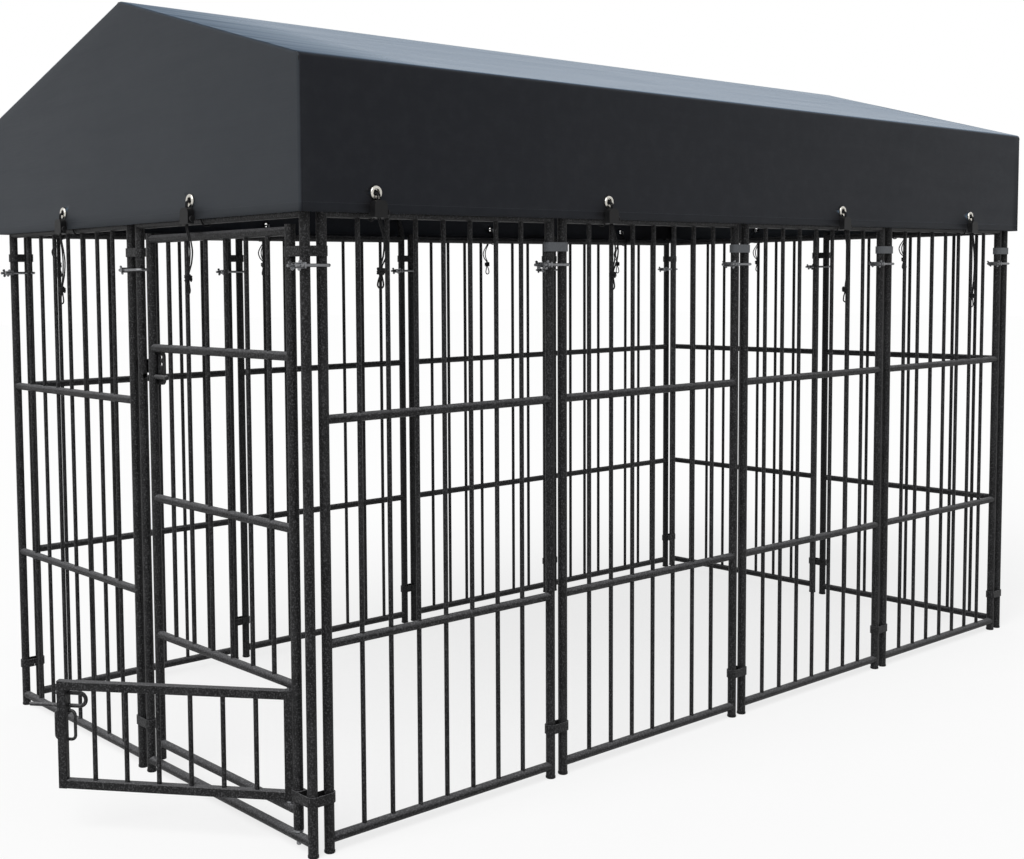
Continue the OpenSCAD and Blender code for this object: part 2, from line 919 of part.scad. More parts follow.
// Hinge pins in the ends of the feeding door's hinge stile, the lower one with a thrust collar
module feed_pins() {
  low = feed_bottom_z - feed_half;
  high = feed_top_z + feed_half;
  rail_low = door_low_z - door_rail_d / 2;
  rail_top = door_bottom_z + door_rail_d / 2;
  zinc()
    feed_place() {
      translate([0, 0, high - feed_pin_plug])
        cylinder(d = feed_pin_d, h = feed_pin_plug + rail_low - high + feed_pin_in);
      translate([0, 0, rail_top - feed_pin_in + 0.5])
        cylinder(d = feed_pin_d, h = low + feed_pin_plug - rail_top + feed_pin_in - 0.5);
      translate([0, 0, rail_top + collar_lift])
        cylinder(d = collar_d, h = low - rail_top - collar_lift);
    }
}

// Hairpin bolt behind the free stile
module feed_bolt() {
  bend = bolt_rise / 2;
  turn = feed_span - bolt_loop + bend + bolt_d / 2;
  zinc()
    feed_place()
      translate([bolt_back, 0, 0])
        union() {
          translate([0, 0, bolt_low_z])
            rod_y(bolt_d, turn, bolt_tip_s - bolt_bevel);
          translate([0, bolt_tip_s - bolt_bevel, bolt_low_z])
            rotate([-90, 0, 0])
              cylinder(d1 = bolt_d, d2 = bolt_tip_d, h = bolt_bevel);
          translate([0, 0, bolt_low_z + bolt_rise])
            rod_y(bolt_d, turn, feed_span + bolt_short);
          translate([0, turn, bolt_low_z + bend])
            rotate([90, 0, 90])
              rotate([0, 0, 90])
                rotate_extrude(angle = 180)
                  translate([bend, 0])
                    circle(d = bolt_d);
        }
}

// U shaped pull hanging behind the free stile
module feed_pull() {
  half = pull_w / 2;
  low = pull_z - pull_l + pull_d / 2;
  zinc()
    feed_place()
      translate([pull_n, feed_span, 0])
        for (m = [0, 1])
          mirror([0, m, 0])
            union() {
              translate([0, 0, pull_z])
                rod_y(pull_d, feed_half - pull_in, half - pull_bend);
              translate([0, half - pull_bend, pull_z - pull_bend])
                rotate([90, 0, 90])
                  rotate_extrude(angle = 90)
                    translate([pull_bend, 0])
                      circle(d = pull_d);
              translate([0, half, low + pull_bend])
                cylinder(d = pull_d, h = pull_z - low - 2 * pull_bend);
              translate([0, half - pull_bend, low + pull_bend])
                rotate([90, 0, 90])
                  rotate([0, 0, -90])
                    rotate_extrude(angle = 90)
                      translate([pull_bend, 0])
                        circle(d = pull_d);
              translate([0, 0, low])
                rod_y(pull_d, 0, half - pull_bend);
            }
}

// Roof frame

// Cranked upright: spigot in the post, a leaning length that reaches d along +x, then straight up
module upright(d) {
  z1 = post_top + neck_h;
  z2 = z1 + neck_rise;
  lean = atan(d / neck_rise);
  union() {
    translate([0, 0, post_top - spigot_l])
      cylinder(r = tube_r, h = spigot_l + neck_h + lean_d / 4);
    translate([0, 0, z1])
      rotate([0, lean, 0])
        cylinder(d = lean_d, h = norm([d, neck_rise]));
    translate([d, 0, z2 - lean_d / 4])
      cylinder(r = tube_r, h = eave_axis_z - tube_r - butt_gap - z2 + lean_d / 4);
  }
}

module both_rows() {
  for (m = [0, 1])
    place()
      translate([0, m * run_w, 0])
        mirror([0, m, 0])
          children();
}

module roof_uprights() {
  coat()
    both_rows() {
      rotate([0, 0, -135])
        upright(neck_out * sqrt(2));
      translate([frame_post_x[1], 0, 0])
        rotate([0, 0, -90])
          upright(neck_out);
      translate([run_l, 0, 0])
        rotate([0, 0, -45])
          upright(neck_out * sqrt(2));
    }
}

// Slope frame with its origin on the eave axis and +z up the slope
module on_slope(x) {
  translate([x, eave_y, eave_axis_z])
    rotate([slope - 90, 0, 0])
      children();
}

module roof_rafters() {
  gap = tube_r + butt_gap;
  coat()
    both_rows()
      for (x = frame_x)
        on_slope(x)
          translate([0, 0, gap])
            cylinder(r = tube_r, h = rafter_l - 2 * gap);
}

module long_tube(y, z) {
  translate([frame_x[0], y, z])
    rod_x(roof_tube_d, -joint_r + 1, run_l + 2 * neck_out + joint_r - 1);
}

module ridge_tube() {
  coat()
    place()
      long_tube(run_w / 2, ridge_axis_z);
}

module eave_tubes() {
  coat()
    both_rows()
      long_tube(eave_y, eave_axis_z);
}

function sleeve_a(i) = i == 0 ? -joint_r : -socket_l / 2 - 4;
function sleeve_b(i) = i == 2 ? joint_r : socket_l / 2 + 4;

module roof_connectors() {
  socket_d = 2 * (joint_r - socket_step);
  hole_d = roof_tube_d + 2 * joint_fit;
  coat() {
    both_rows()
      for (i = [0:2])
        difference() {
          union() {
            translate([frame_x[i], eave_y, eave_axis_z])
              rod_x(2 * joint_r, sleeve_a(i), sleeve_b(i));
            on_slope(frame_x[i])
              cylinder(d = socket_d, h = socket_l);
            translate([frame_x[i], eave_y, eave_axis_z - socket_l])
              cylinder(d = socket_d - 2 * socket_step, h = socket_l);
          }
          translate([frame_x[i], eave_y, eave_axis_z])
            rod_x(hole_d, -socket_l, socket_l);
          on_slope(frame_x[i])
            cylinder(d = hole_d - 0.04, h = socket_l + 1);
          translate([frame_x[i], eave_y, eave_axis_z - socket_l - 1])
            cylinder(d = hole_d - 0.08, h = socket_l + 1);
        }
    place()
      for (i = [0:2])
        difference() {
          union() {
            translate([frame_x[i], run_w / 2, ridge_axis_z])
              rod_x(2 * joint_r, sleeve_a(i), sleeve_b(i));
            for (m = [0, 1])
              ridge_slope(i, m)
                cylinder(d = socket_d - m * 0.2, h = socket_l);
          }
          translate([frame_x[i], run_w / 2, ridge_axis_z])
            rod_x(hole_d, -socket_l, socket_l);
          for (m = [0, 1])
            ridge_slope(i, m)
              cylinder(d = hole_d - 0.04 - m * 0.04, h = socket_l + 1);
        }
  }
}

module ridge_slope(i, m) {
  translate([frame_x[i], run_w / 2, ridge_axis_z])
    mirror([0, m, 0])
      rotate([90 + slope, 0, 0])
        children();
}

// Cover

function arc(c, r, a, b, n) = [for (i = [0:n]) c + r * [cos(a + (b - a) * i / n), sin(a + (b - a) * i / n)]];

// Gable outline set inwards by off, from the lower left corner over the ridge to the lower right one
function outline(off, low) =
  let (
    h = run_w / 2 + cover_gap - off,
    ez = eave_z + off * tan(slope) - off / cos(slope),
    rz = ridge_z - off / cos(slope),
    er = eave_r - off,
    rr = ridge_r - off,
    ec = ez + er * tan(slope) - er / cos(slope),
    rc = rz - rr / cos(slope)
  )
  concat(
    [[-h, low]],
    arc([-h + er, ec], er, 180, 90 + slope, 6),
    arc([0, rc], rr, 90 + slope, 90 - slope, 6),
    arc([h - er, ec], er, 90 - slope, 0, 6),
    [[h, low]]
  );

module cover_block(off, low) {
  translate([off - cover_gap, run_w / 2, 0])
    rotate([90, 0, 90])
      linear_extrude(height = run_l + 2 * (cover_gap - off))
        polygon(outline(off, low));
}

module cover() {
  color([0.2, 0.21, 0.23])
    difference() {
      place()
        difference() {
          cover_block(0, skirt_z);
          cover_block(cover_t, skirt_z - 5);
        }
      all_grommets()
        rod_y(grommet_bore + 2 * grommet_wall + 2 * grommet_fit, -10, 10);
    }
}

// Rounded ring on the outside of the cover, flat where it bears on the cloth
module grommet_ring() {
  difference() {
    translate([0, -ring_rise, 0])
      rotate([90, 0, 0])
        rotate_extrude()
          translate([(grommet_d - ring_d) / 2, 0])
            circle(d = ring_d);
    rod_y(2 * grommet_d, -grommet_fit, ring_d);
  }
}

module grommets() {
  barrel = grommet_bore + 2 * grommet_wall;
  zinc()
    all_grommets()
      difference() {
        union() {
          rod_y(barrel, -ring_rise, cover_t + grommet_fit + grommet_t);
          grommet_ring();
          rod_y(grommet_d - 5, cover_t + grommet_fit, cover_t + grommet_fit + grommet_t);
        }
        rod_y(grommet_bore, -10, 10);
      }
}

// Cord locks and cords

module slot(a, b, low, high) {
  translate([a, -lock_out - slot_w / 2, low])
    cube([b - a, slot_w, high - low]);
}

module lock_body() {
  half = lock_w / 2;
  difference() {
    translate([0, lock_t / 2 - lock_out, -lock_drop])
      rotate([90, 0, 0])
        linear_extrude(height = lock_t)
          union() {
            translate([-half, lock_r - lock_h])
              square([lock_w, lock_h - lock_r - lock_top_r]);
            translate([lock_top_r - half, -lock_top_r])
              square([lock_w - 2 * lock_top_r, lock_top_r]);
            translate([lock_r - half, -lock_h])
              square([lock_w - 2 * lock_r, lock_r]);
            for (m = [-1, 1]) {
              translate([m * (half - lock_top_r), -lock_top_r])
                circle(r = lock_top_r);
              translate([m * (half - lock_r), lock_r - lock_h])
                circle(r = lock_r);
            }
          }
    translate([0, -lock_out, -plunger_drop])
      rod_x(plunger_d + 2 * plunger_fit, lock_end - half, half + 1);
    slot(-slot_half, slot_half, -lock_drop - lock_h - 1, -lock_drop + 1);
  }
}

module lock_bodies() {
  color([0.03, 0.03, 0.03])
    all_grommets()
      lock_body();
}

module lock_springs() {
  zinc()
    all_grommets()
      translate([0, -lock_out, -plunger_drop])
        difference() {
          rod_x(spring_d, lock_end - lock_w / 2, lock_end - lock_w / 2 + spring_l);
          rod_x(spring_d - 2.4, lock_end - lock_w / 2 - 1, lock_end - lock_w / 2 + spring_l + 1);
        }
}

module lock_button(s, x) {
  start = lock_end - lock_w / 2 + spring_l + 0.2;
  head = lock_w / 2 + button_travel + 0.4;
  color([0.06, 0.06, 0.06])
    grommet_place(s, x)
      difference() {
        translate([0, -lock_out, -plunger_drop]) {
          rod_x(plunger_d, start, head);
          rod_x(button_d, head, head + button_t - 1);
          translate([head + button_t - 1, 0, 0])
            rotate([0, 90, 0])
              cylinder(d1 = button_d, d2 = button_d - 2.5, h = 1);
        }
        slot(-slot_half, slot_half + button_travel, -plunger_drop - plunger_d, plunger_d - plunger_drop);
      }
}

function heading(p, i) =
  let (d = p[min(i + 1, len(p) - 1)] - p[max(i - 1, 0)])
  d / norm(d);

function frames(p, i, n) =
  i == len(p) ? [] :
  let (
    t = heading(p, i),
    m = n - (n * t) * t,
    u = m / norm(m)
  )
  concat([[u, cross(t, u)]], frames(p, i + 1, u));

// Round tube swept along a route
module tube(p, r) {
  s = cord_sides;
  n = len(p);
  f = frames(p, 0, [0.1, 0, 1]);
  points = [
    for (i = [0:n - 1])
      for (j = [0:s - 1])
        p[i] + r * (cos(360 * j / s) * f[i][0] + sin(360 * j / s) * f[i][1])
  ];
  walls = [
    for (i = [0:n - 2])
      for (j = [0:s - 1])
        for (h = [0, 1])
          let (
            a = i * s + j,
            b = i * s + (j + 1) % s
          )
          h == 0 ? [a, a + s, b] : [b, a + s, b + s]
  ];
  ends = [[for (j = [0:s - 1]) j], [for (j = [s - 1:-1:0]) (n - 1) * s + j]];
  polyhedron(points = points, faces = concat(walls, ends));
}

// Height on a cord whose tail hangs lower by extra
function tail(z, extra) =
  z - extra * min(1, max(0, (tail_top - z) / (tail_top - tail_end)));

module cord(extra) {
  tube([for (q = cord_route) [q[0], -q[1], tail(q[2], extra)]], cord_d / 2);
}

module cord_color() {
  color([0.04, 0.04, 0.04])
    children();
}

module cord_row(s, spots, extra) {
  cord_color()
    for (i = [0:len(spots) - 1])
      grommet_place(s, spots[i])
        cord(extra[i]);
}

module right_cords() cord_row(0, side_grommets, near_tails);
module left_cords() cord_row(2, far_spots(), far_tails);
module front_cords() cord_row(3, end_spots(), door_tails);
module rear_cords() cord_row(1, end_spots(), rear_tails);

// Three turns of each knot, round both strands of a cord
module knot_row(s, spots, extra) {
  cord_color()
    for (i = [0:len(spots) - 1])
      grommet_place(s, spots[i])
        for (z = knot_turns)
          translate([knot_t, -knot_o, z - extra[i]])
            rotate_extrude()
              translate([knot_r, 0])
                circle(d = knot_d);
}

module cord_knots() {
  knot_row(0, side_grommets, near_tails);
  knot_row(2, far_spots(), far_tails);
  knot_row(3, end_spots(), door_tails);
  knot_row(1, end_spots(), rear_tails);
}

// Output

right_panel_1();
right_panel_2();
right_panel_3();
right_panel_4();
left_panel_1();
left_panel_2();
left_panel_3();
left_panel_4();
rear_panel_1();
rear_panel_2();
front_panel();
door_frame();
foot_plugs();
top_plugs();
upper_straps();
lower_straps();
door_hinge_straps();
u_bolts();
saddle_plates();
wing_nuts();
strike_plate();
door();
door_pivot_pin();
latch_bolt();
feed_door();
feed_pins();
feed_bolt();
feed_pull();
roof_uprights();
roof_rafters();
ridge_tube();
eave_tubes();
roof_connectors();
cover();
grommets();
lock_bodies();
lock_springs();
right_cords();
left_cords();
front_cords();
rear_cords();
cord_knots();
lock_button(0, side_grommets[0]);  // lock_button_right_1
lock_button(0, side_grommets[1]);  // lock_button_right_2
lock_button(0, side_grommets[2]);  // lock_button_right_3
lock_button(0, side_grommets[3]);  // lock_button_right_4
lock_button(2, far_spots()[0]);  // lock_button_left_1
lock_button(2, far_spots()[1]);  // lock_button_left_2
lock_button(2, far_spots()[2]);  // lock_button_left_3
lock_button(2, far_spots()[3]);  // lock_button_left_4
lock_button(3, end_spots()[0]);  // lock_button_front_1
lock_button(3, end_spots()[1]);  // lock_button_front_2
lock_button(1, end_spots()[0]);  // lock_button_rear_1
lock_button(1, end_spots()[1]);  // lock_button_rear_2
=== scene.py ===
import json
import math
import bpy
from mathutils import Matrix, Vector, noise


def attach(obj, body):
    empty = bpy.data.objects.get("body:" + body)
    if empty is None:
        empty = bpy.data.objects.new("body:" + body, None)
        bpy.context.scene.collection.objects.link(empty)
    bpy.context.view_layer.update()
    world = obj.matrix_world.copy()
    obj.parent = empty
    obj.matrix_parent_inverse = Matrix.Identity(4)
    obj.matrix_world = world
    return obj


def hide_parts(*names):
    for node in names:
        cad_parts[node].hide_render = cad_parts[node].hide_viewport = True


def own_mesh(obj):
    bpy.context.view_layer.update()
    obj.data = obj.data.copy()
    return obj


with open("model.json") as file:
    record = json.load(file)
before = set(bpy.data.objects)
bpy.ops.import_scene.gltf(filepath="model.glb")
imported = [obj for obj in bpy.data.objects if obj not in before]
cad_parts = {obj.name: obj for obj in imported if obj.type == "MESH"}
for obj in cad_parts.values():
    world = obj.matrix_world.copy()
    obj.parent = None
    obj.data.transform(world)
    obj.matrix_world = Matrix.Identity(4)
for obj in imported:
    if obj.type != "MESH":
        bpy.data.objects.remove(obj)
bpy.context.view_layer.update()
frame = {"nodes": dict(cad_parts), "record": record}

# Layout of the run, in millimetres as in part.scad
PITCH, POST_GAP = 800.0, 48.0
RUN_L = 4 * PITCH + POST_GAP
RUN_W = 2 * PITCH - POST_GAP
COVER_GAP, COVER_T = 36.0, 1.5
SKIRT_Z, EAVE_Z, RIDGE_Z = 1508.0, 1860.0, 2102.0
EAVE_R, RIDGE_R, END_R = 13.0, 26.0, 9.0
SLOPE = math.atan((RIDGE_Z - EAVE_Z) / (RUN_W / 2 + COVER_GAP))
ROOF_FRAME_OUT = 19.8
ROOF_FRAMES = (-ROOF_FRAME_OUT, 2 * PITCH, RUN_L + ROOF_FRAME_OUT)

# The origin lies midway between the tip of the open feeding door's bolt and the rear grommets' rings
FEED_REST = math.radians(41)
BOLT_TIP, BOLT_BACK = 666.0, 15.0
RING_PROUD = 7.0
FRONT_REACH = BOLT_TIP * math.sin(FEED_REST) - BOLT_BACK * math.cos(FEED_REST)
REAR_REACH = RUN_L + COVER_GAP + RING_PROUD
X0, Y0 = (FRONT_REACH - REAR_REACH) / 2, -RUN_W / 2

# Camera of the photograph: angles in degrees, place in the layout, focal length and axis in pixels
CAMERA_YAW, CAMERA_PITCH, CAMERA_ROLL = 51.23, -4.0, -0.654
CAMERA_AT = (-1855.0, -2535.0, 1351.0)
PHOTO_W, PHOTO_H = 1024, 859
FOCAL_PX = 1372.9
AXIS_PX = (368.1, 376.5)
SENSOR_W = 36.0

# Grommets along each side, their cords, locks and knots, in millimetres
GROMMET_Z, GROMMET_HOLE = 1555.0, 18.1
SIDE_SPOTS = (180.0, 990.0, 2110.0, 2920.0)
END_GROMMET = 348.0
END_SPOTS = (RUN_W / 2 - END_GROMMET, RUN_W / 2 + END_GROMMET)
NEAR_TAILS, FAR_TAILS = (0.0, 13.0, 67.0, 100.0), (-40.0, -40.0, -40.0, -40.0)
DOOR_TAILS, REAR_TAILS = (38.0, 10.0), (-40.0, -40.0)
TAIL_TOP, TAIL_END = -59.0, -172.0
CORD_D = 4.0
LOCK_OUT, PLUNGER_DROP = 13.0, 46.0
SPRING_START, SPRING_L, SPRING_D, SPRING_WIRE = -16.5, 7.5, 9.0, 0.9
KNOT_ALONG, KNOT_OUT, KNOT_LOW = 3.0, 14.0, -192.0

# Route of a cord from its grommet: along the cover, away from it, and upwards
ROUTE = [
    (-4, -9, 0), (-4, -3, 0), (-4, 3, 0), (-3.8, 8, -1.3), (-3.4, 11.7, -5), (-3, 13, -10),
    (-3, 13, -22), (-3, 13, -40), (-3, 13, -59), (-0.5, 14, -70), (5, 14, -84), (10.5, 14, -100),
    (13.5, 14, -122), (10.5, 14, -146), (6, 14, -160), (1.5, 14, -172), (0, 14, -192),
    (-4.6, 14, -203), (-7.3, 14, -214), (-4.7, 14, -220.2), (1.5, 14, -222.8), (7.7, 14, -220.2),
    (10.3, 14, -214), (8.2, 14, -203), (6, 14, -192), (6.5, 14, -172), (13, 14, -160),
    (20.5, 14, -146), (25, 14, -122), (19.5, 14, -100), (12, 14, -84), (5.5, 14, -70),
    (3, 13, -59), (3, 13, -40), (3, 13, -22), (3, 13, -10), (3.4, 11.7, -5), (3.8, 8, -1.3),
    (4, 3, 0), (4, -3, 0), (4, -9, 0), (7, -18, -5), (11, -27, -17), (15, -36, -31),
    (15, -47, -35), (15, -52, -47), (16, -47, -59), (16, -36, -63), (15, -25, -59), (12, -20, -46),
    (6, -18, -31), (0, -15, -18), (-3, -12, -8),
]

# Steps of the meshes: along a cord's stretches and round it, then over the parts of the cover
CORD_STEPS, CORD_SIDES = 6, 12
SKIRT_ROWS, SLOPE_STEPS, RUN_STEPS = 14, 26, 82
ARC_STEPS, END_STEPS = 6, 5

# Depth of the cover's slack, and how far its taut places reach, in millimetres
ROOF_SAG, ROOF_STREAK, ROOF_GRAIN = 6.0, 2.6, 1.2
SKIRT_WAVE, SKIRT_PULL = 2.6, 1.2
GABLE_WAVE, GABLE_PULL = 2.2, 1.4
GROMMET_HOLD, GABLE_EDGE, GABLE_PEAK = 55.0, 90.0, 120.0

# Studio: half the floor's width in metres, how white it looks, and the lights
FLOOR_HALF, FLOOR_WHITE = 40.0, 0.75
FILL_STRENGTH, BACK_STRENGTH = 0.45, 1.0
KEY_STRENGTH, KEY_ANGLE = 2.6, 50
KEY_TOWARDS = (0.80, 0.28, -0.85)


# Places
def at(x, y, z):
    """Point of the layout in millimetres, as a point of the shared frame in metres."""
    return Vector(((x + X0) / 1000, (y + Y0) / 1000, z / 1000))


def on_side(s, x, y, z):
    """Point seen from side s, which is 0 near, 1 rear, 2 far or 3 door end: x rightwards, -y outwards."""
    if s == 0:
        return at(x, y, z)
    if s == 1:
        return at(RUN_L - y, x, z)
    if s == 2:
        return at(RUN_L - x, RUN_W - y, z)
    return at(y, RUN_W - x, z)


def by_grommet(s, x, along, out, up):
    """Point by the grommet at x on side s: along the cover, away from it, and upwards."""
    return on_side(s, x + along, -COVER_GAP - out, GROMMET_Z + up)


def clamp(value):
    return min(max(value, 0.0), 1.0)


def make_camera():
    """Camera at the photograph's place, with the photograph's frame."""
    yaw, pitch, roll = (math.radians(a) for a in (CAMERA_YAW, CAMERA_PITCH, CAMERA_ROLL))
    forward = Vector((math.cos(yaw) * math.cos(pitch), math.sin(yaw) * math.cos(pitch), math.sin(pitch)))
    level = Vector((math.sin(yaw), -math.cos(yaw), 0))
    upright = level.cross(forward)
    right = math.cos(roll) * level + math.sin(roll) * upright
    up = math.cos(roll) * upright - math.sin(roll) * level
    data = bpy.data.cameras.new("camera")
    data.sensor_fit = "HORIZONTAL"
    data.sensor_width = SENSOR_W
    data.lens = SENSOR_W * FOCAL_PX / PHOTO_W
    data.shift_x = (PHOTO_W / 2 - AXIS_PX[0]) / PHOTO_W
    data.shift_y = (AXIS_PX[1] - PHOTO_H / 2) / PHOTO_W
    data.clip_start, data.clip_end = 0.05, 200
    camera = bpy.data.objects.new("camera", data)
    bpy.context.scene.collection.objects.link(camera)
    place = Matrix((right, up, -forward)).transposed().to_4x4()
    place.translation = at(*CAMERA_AT)
    camera.matrix_world = place
    bpy.context.scene.camera = camera


# Mesh helpers
def new_object(name, verts, faces, uvs=None, smooth=True):
    mesh = bpy.data.meshes.new(name)
    mesh.from_pydata([tuple(v) for v in verts], [], faces)
    if uvs is not None:
        layer = mesh.uv_layers.new(name="UVMap")
        layer.data.foreach_set("uv", [c for face in uvs for uv in face for c in uv])
    mesh.polygons.foreach_set("use_smooth", [smooth] * len(mesh.polygons))
    mesh.update()
    obj = bpy.data.objects.new(name, mesh)
    bpy.context.scene.collection.objects.link(obj)
    return obj


def spline(points, steps):
    """Smooth curve through the points, with steps to each stretch."""
    pts = [Vector(p) for p in points]
    ext = [2 * pts[0] - pts[1]] + pts + [2 * pts[-1] - pts[-2]]
    out = []
    for i in range(1, len(ext) - 2):
        a, b, c, d = ext[i - 1:i + 3]
        for k in range(steps):
            t = k / steps
            out.append(0.5 * (2 * b + (c - a) * t + (2 * a - 5 * b + 4 * c - d) * t * t
                              + (3 * b - a - 3 * c + d) * t ** 3))
    out.append(pts[-1])
    return out


def ring_faces(rings, sides, start=0):
    """Faces of a closed tube made of rings of vertices, with a cap on each end."""
    faces = []
    for i in range(rings - 1):
        a, b = start + i * sides, start + (i + 1) * sides
        for j in range(sides):
            k = (j + 1) % sides
            faces.append((a + j, a + k, b + k, b + j))
    last = start + (rings - 1) * sides
    faces.append(tuple(start + j for j in reversed(range(sides))))
    faces.append(tuple(last + j for j in range(sides)))
    return faces


def tube_data(path, radius, sides, start):
    """Vertices, faces and UVs of a round tube along a path; start is its first vertex's number."""
    n = len(path)
    verts, run = [], [0.0]
    side = (path[1] - path[0]).normalized().orthogonal().normalized()
    for i, p in enumerate(path):
        t = (path[min(i + 1, n - 1)] - path[max(i - 1, 0)]).normalized()
        side = (side - side.dot(t) * t).normalized()
        up = t.cross(side)
        if i:
            run.append(run[-1] + (p - path[i - 1]).length)
        for j in range(sides):
            a = 2 * math.pi * j / sides
            verts.append(p + radius * (math.cos(a) * side + math.sin(a) * up))
    uvs = []
    for low, high in zip(run, run[1:]):
        for j in range(sides):
            u, v = j / sides, (j + 1) / sides
            uvs.append(((u, low), (v, low), (v, high), (u, high)))
    uvs.append(tuple((j / sides, 0.0) for j in reversed(range(sides))))
    uvs.append(tuple((j / sides, run[-1]) for j in range(sides)))
    return verts, ring_faces(n, sides, start), uvs


def tubes_object(name, tubes):
    """One object of several round tubes, each a path, a radius in metres and a number of sides."""
    verts, faces, uvs = [], [], []
    for path, radius, sides in tubes:
        v, f, u = tube_data(path, radius, sides, len(verts))
        verts += v
        faces += f
        uvs += u
    return new_object(name, verts, faces, uvs)


# Pieces made here, each with the slot that it takes its finish from
made = []


def wears(piece, slot):
    """Names the slot of a piece, and keeps both for its material."""
    made.append((piece, slot))


# Elastic cords with their knots, sleeves and lock springs
def cord_spots():
    """Each cord's side, number, place along the side and extra length of tail."""
    rows = [("right", 0, SIDE_SPOTS, NEAR_TAILS), ("rear", 1, END_SPOTS, REAR_TAILS),
            ("left", 2, SIDE_SPOTS, FAR_TAILS), ("front", 3, END_SPOTS, DOOR_TAILS)]
    for label, s, spots, tails in rows:
        along = [RUN_L - x for x in spots] if label == "left" else spots
        for i, (x, extra) in enumerate(zip(along, tails)):
            yield label, s, i + 1, x, extra


def tail(z, extra):
    """Height on a cord whose tail hangs lower by extra."""
    return z - extra * clamp((TAIL_TOP - z) / (TAIL_TOP - TAIL_END))


def knot_tubes(s, x, extra):
    """Three turns of cord and a crossing strand, round both strands of a cord."""
    low = KNOT_LOW - extra
    # Sizes in millimetres; the turns count whole turns, and the crossing strand counts half turns
    steps, sides, strand_r = 56, 10, 2.4
    shifts, lean = (0.0, 4.7, 9.4), 0.25
    start, turns = 0.12, 1.25
    radius, swell, sharp = 5.2, 2.9, 7
    foot, rise = 2.3, 4.6
    cross_steps, cross_r = 24, 2.2
    cross_start, cross_turn = 0.30, 0.42
    cross_in, cross_bow = 6.4, 2.6
    cross_foot, cross_rise = 0.5, 17.0

    def point(a, r, z):
        return by_grommet(s, x, KNOT_ALONG + r * math.cos(a), KNOT_OUT + r * math.sin(a), low + z)

    tubes = []
    for shift in shifts:
        turn = []
        for i in range(steps + 1):
            w = i / steps
            a = 2 * math.pi * (start + turns * w) + shift * lean
            ease = min(1.0, sharp * w, sharp * (1 - w))
            turn.append(point(a, radius + swell * ease, foot + shift + rise * w))
        tubes.append((turn, strand_r / 1000, sides))
    cross = []
    for i in range(cross_steps + 1):
        w = i / cross_steps
        bow = math.sin(math.pi * w)
        a = -math.pi * (cross_start + cross_turn * w)
        cross.append(point(a, cross_in + cross_bow * bow, cross_foot + cross_rise * w))
    tubes.append((cross, cross_r / 1000, sides))
    return tubes


def ferrule_object(name, s, x):
    """Crimped metal sleeve that joins the two ends of a cord behind the cover."""
    rings, sides = 25, 20
    along, inside, low, length = -3.5, 11.0, -12.5, 15.5
    half_along, half_in = 3.6, 4.6
    crimps, crimp_depth = 3, 0.13
    mouth, end_power, corner_power = 0.55, 12, 0.7

    def squarish(v):
        return math.copysign(abs(v) ** corner_power, v)

    verts = []
    for i in range(rings):
        w = i / (rings - 1)
        pinch = 1 - crimp_depth * max(0.0, math.sin(2 * math.pi * crimps * w)) ** 2
        full = math.sqrt(max(0.0, 1 - (2 * w - 1) ** end_power))
        scale = (mouth + (1 - mouth) * full) * pinch
        for j in range(sides):
            a = 2 * math.pi * j / sides
            t = half_along * scale * squarish(math.cos(a))
            o = half_in * scale * squarish(math.sin(a))
            verts.append(by_grommet(s, x, along + t, -inside - o, low + length * w))
    return new_object(name, verts, ring_faces(rings, sides))


def spring_object(name, s, x):
    """Coil spring behind the plunger of a cord lock, with turns closer at its ends and middle."""
    turns, per_turn, sides = 3.5, 20, 8
    radius = (SPRING_D - SPRING_WIRE) / 2
    steps = int(turns * per_turn)
    path = []
    for i in range(steps + 1):
        a = 2 * math.pi * i / per_turn
        w = i / steps
        eased = w - math.sin(4 * math.pi * w) / (6 * math.pi)
        along = SPRING_START + SPRING_WIRE / 2 + (SPRING_L - SPRING_WIRE) * eased
        out, up = LOCK_OUT - radius * math.cos(a), radius * math.sin(a) - PLUNGER_DROP
        path.append(by_grommet(s, x, along, out, up))
    return tubes_object(name, [(path, SPRING_WIRE / 2000, sides)])


def make_cord(label, s, i, x, extra):
    """One elastic cord with its knot and sleeve, and the spring of its lock."""
    path = spline([by_grommet(s, x, t, o, tail(z, extra)) for t, o, z in ROUTE], CORD_STEPS)
    cord = tubes_object(f"cord_{label}_{i}", [(path, CORD_D / 2000, CORD_SIDES)])
    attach(cord, "frame")
    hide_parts(f"{label}_cords")
    knot = tubes_object(f"knot_{label}_{i}", knot_tubes(s, x, extra))
    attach(knot, "frame")
    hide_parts("cord_knots")
    ferrule = ferrule_object(f"ferrule_{label}_{i}", s, x)
    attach(ferrule, "frame")
    spring = spring_object(f"spring_{label}_{i}", s, x)
    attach(spring, "frame")
    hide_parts("lock_springs")
    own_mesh(spring)
    wears(cord, "elastic_cord")
    wears(knot, "elastic_cord")
    wears(ferrule, "zinc_plate")
    wears(spring, "zinc_plate")


make_camera()
for spot in cord_spots():
    make_cord(*spot)


# Rain cover as one continuous sheet
def arc(cy, cz, r, start, end):
    """Points of an arc of the cross-section, between two angles in degrees."""
    angles = [math.radians(start + (end - start) * i / ARC_STEPS) for i in range(ARC_STEPS + 1)]
    return [(cy + r * math.cos(a), cz + r * math.sin(a)) for a in angles]


def between(p, q):
    """Points of a slope strictly between two points."""
    shares = [i / SLOPE_STEPS for i in range(1, SLOPE_STEPS)]
    return [(p[0] + (q[0] - p[0]) * w, p[1] + (q[1] - p[1]) * w) for w in shares]


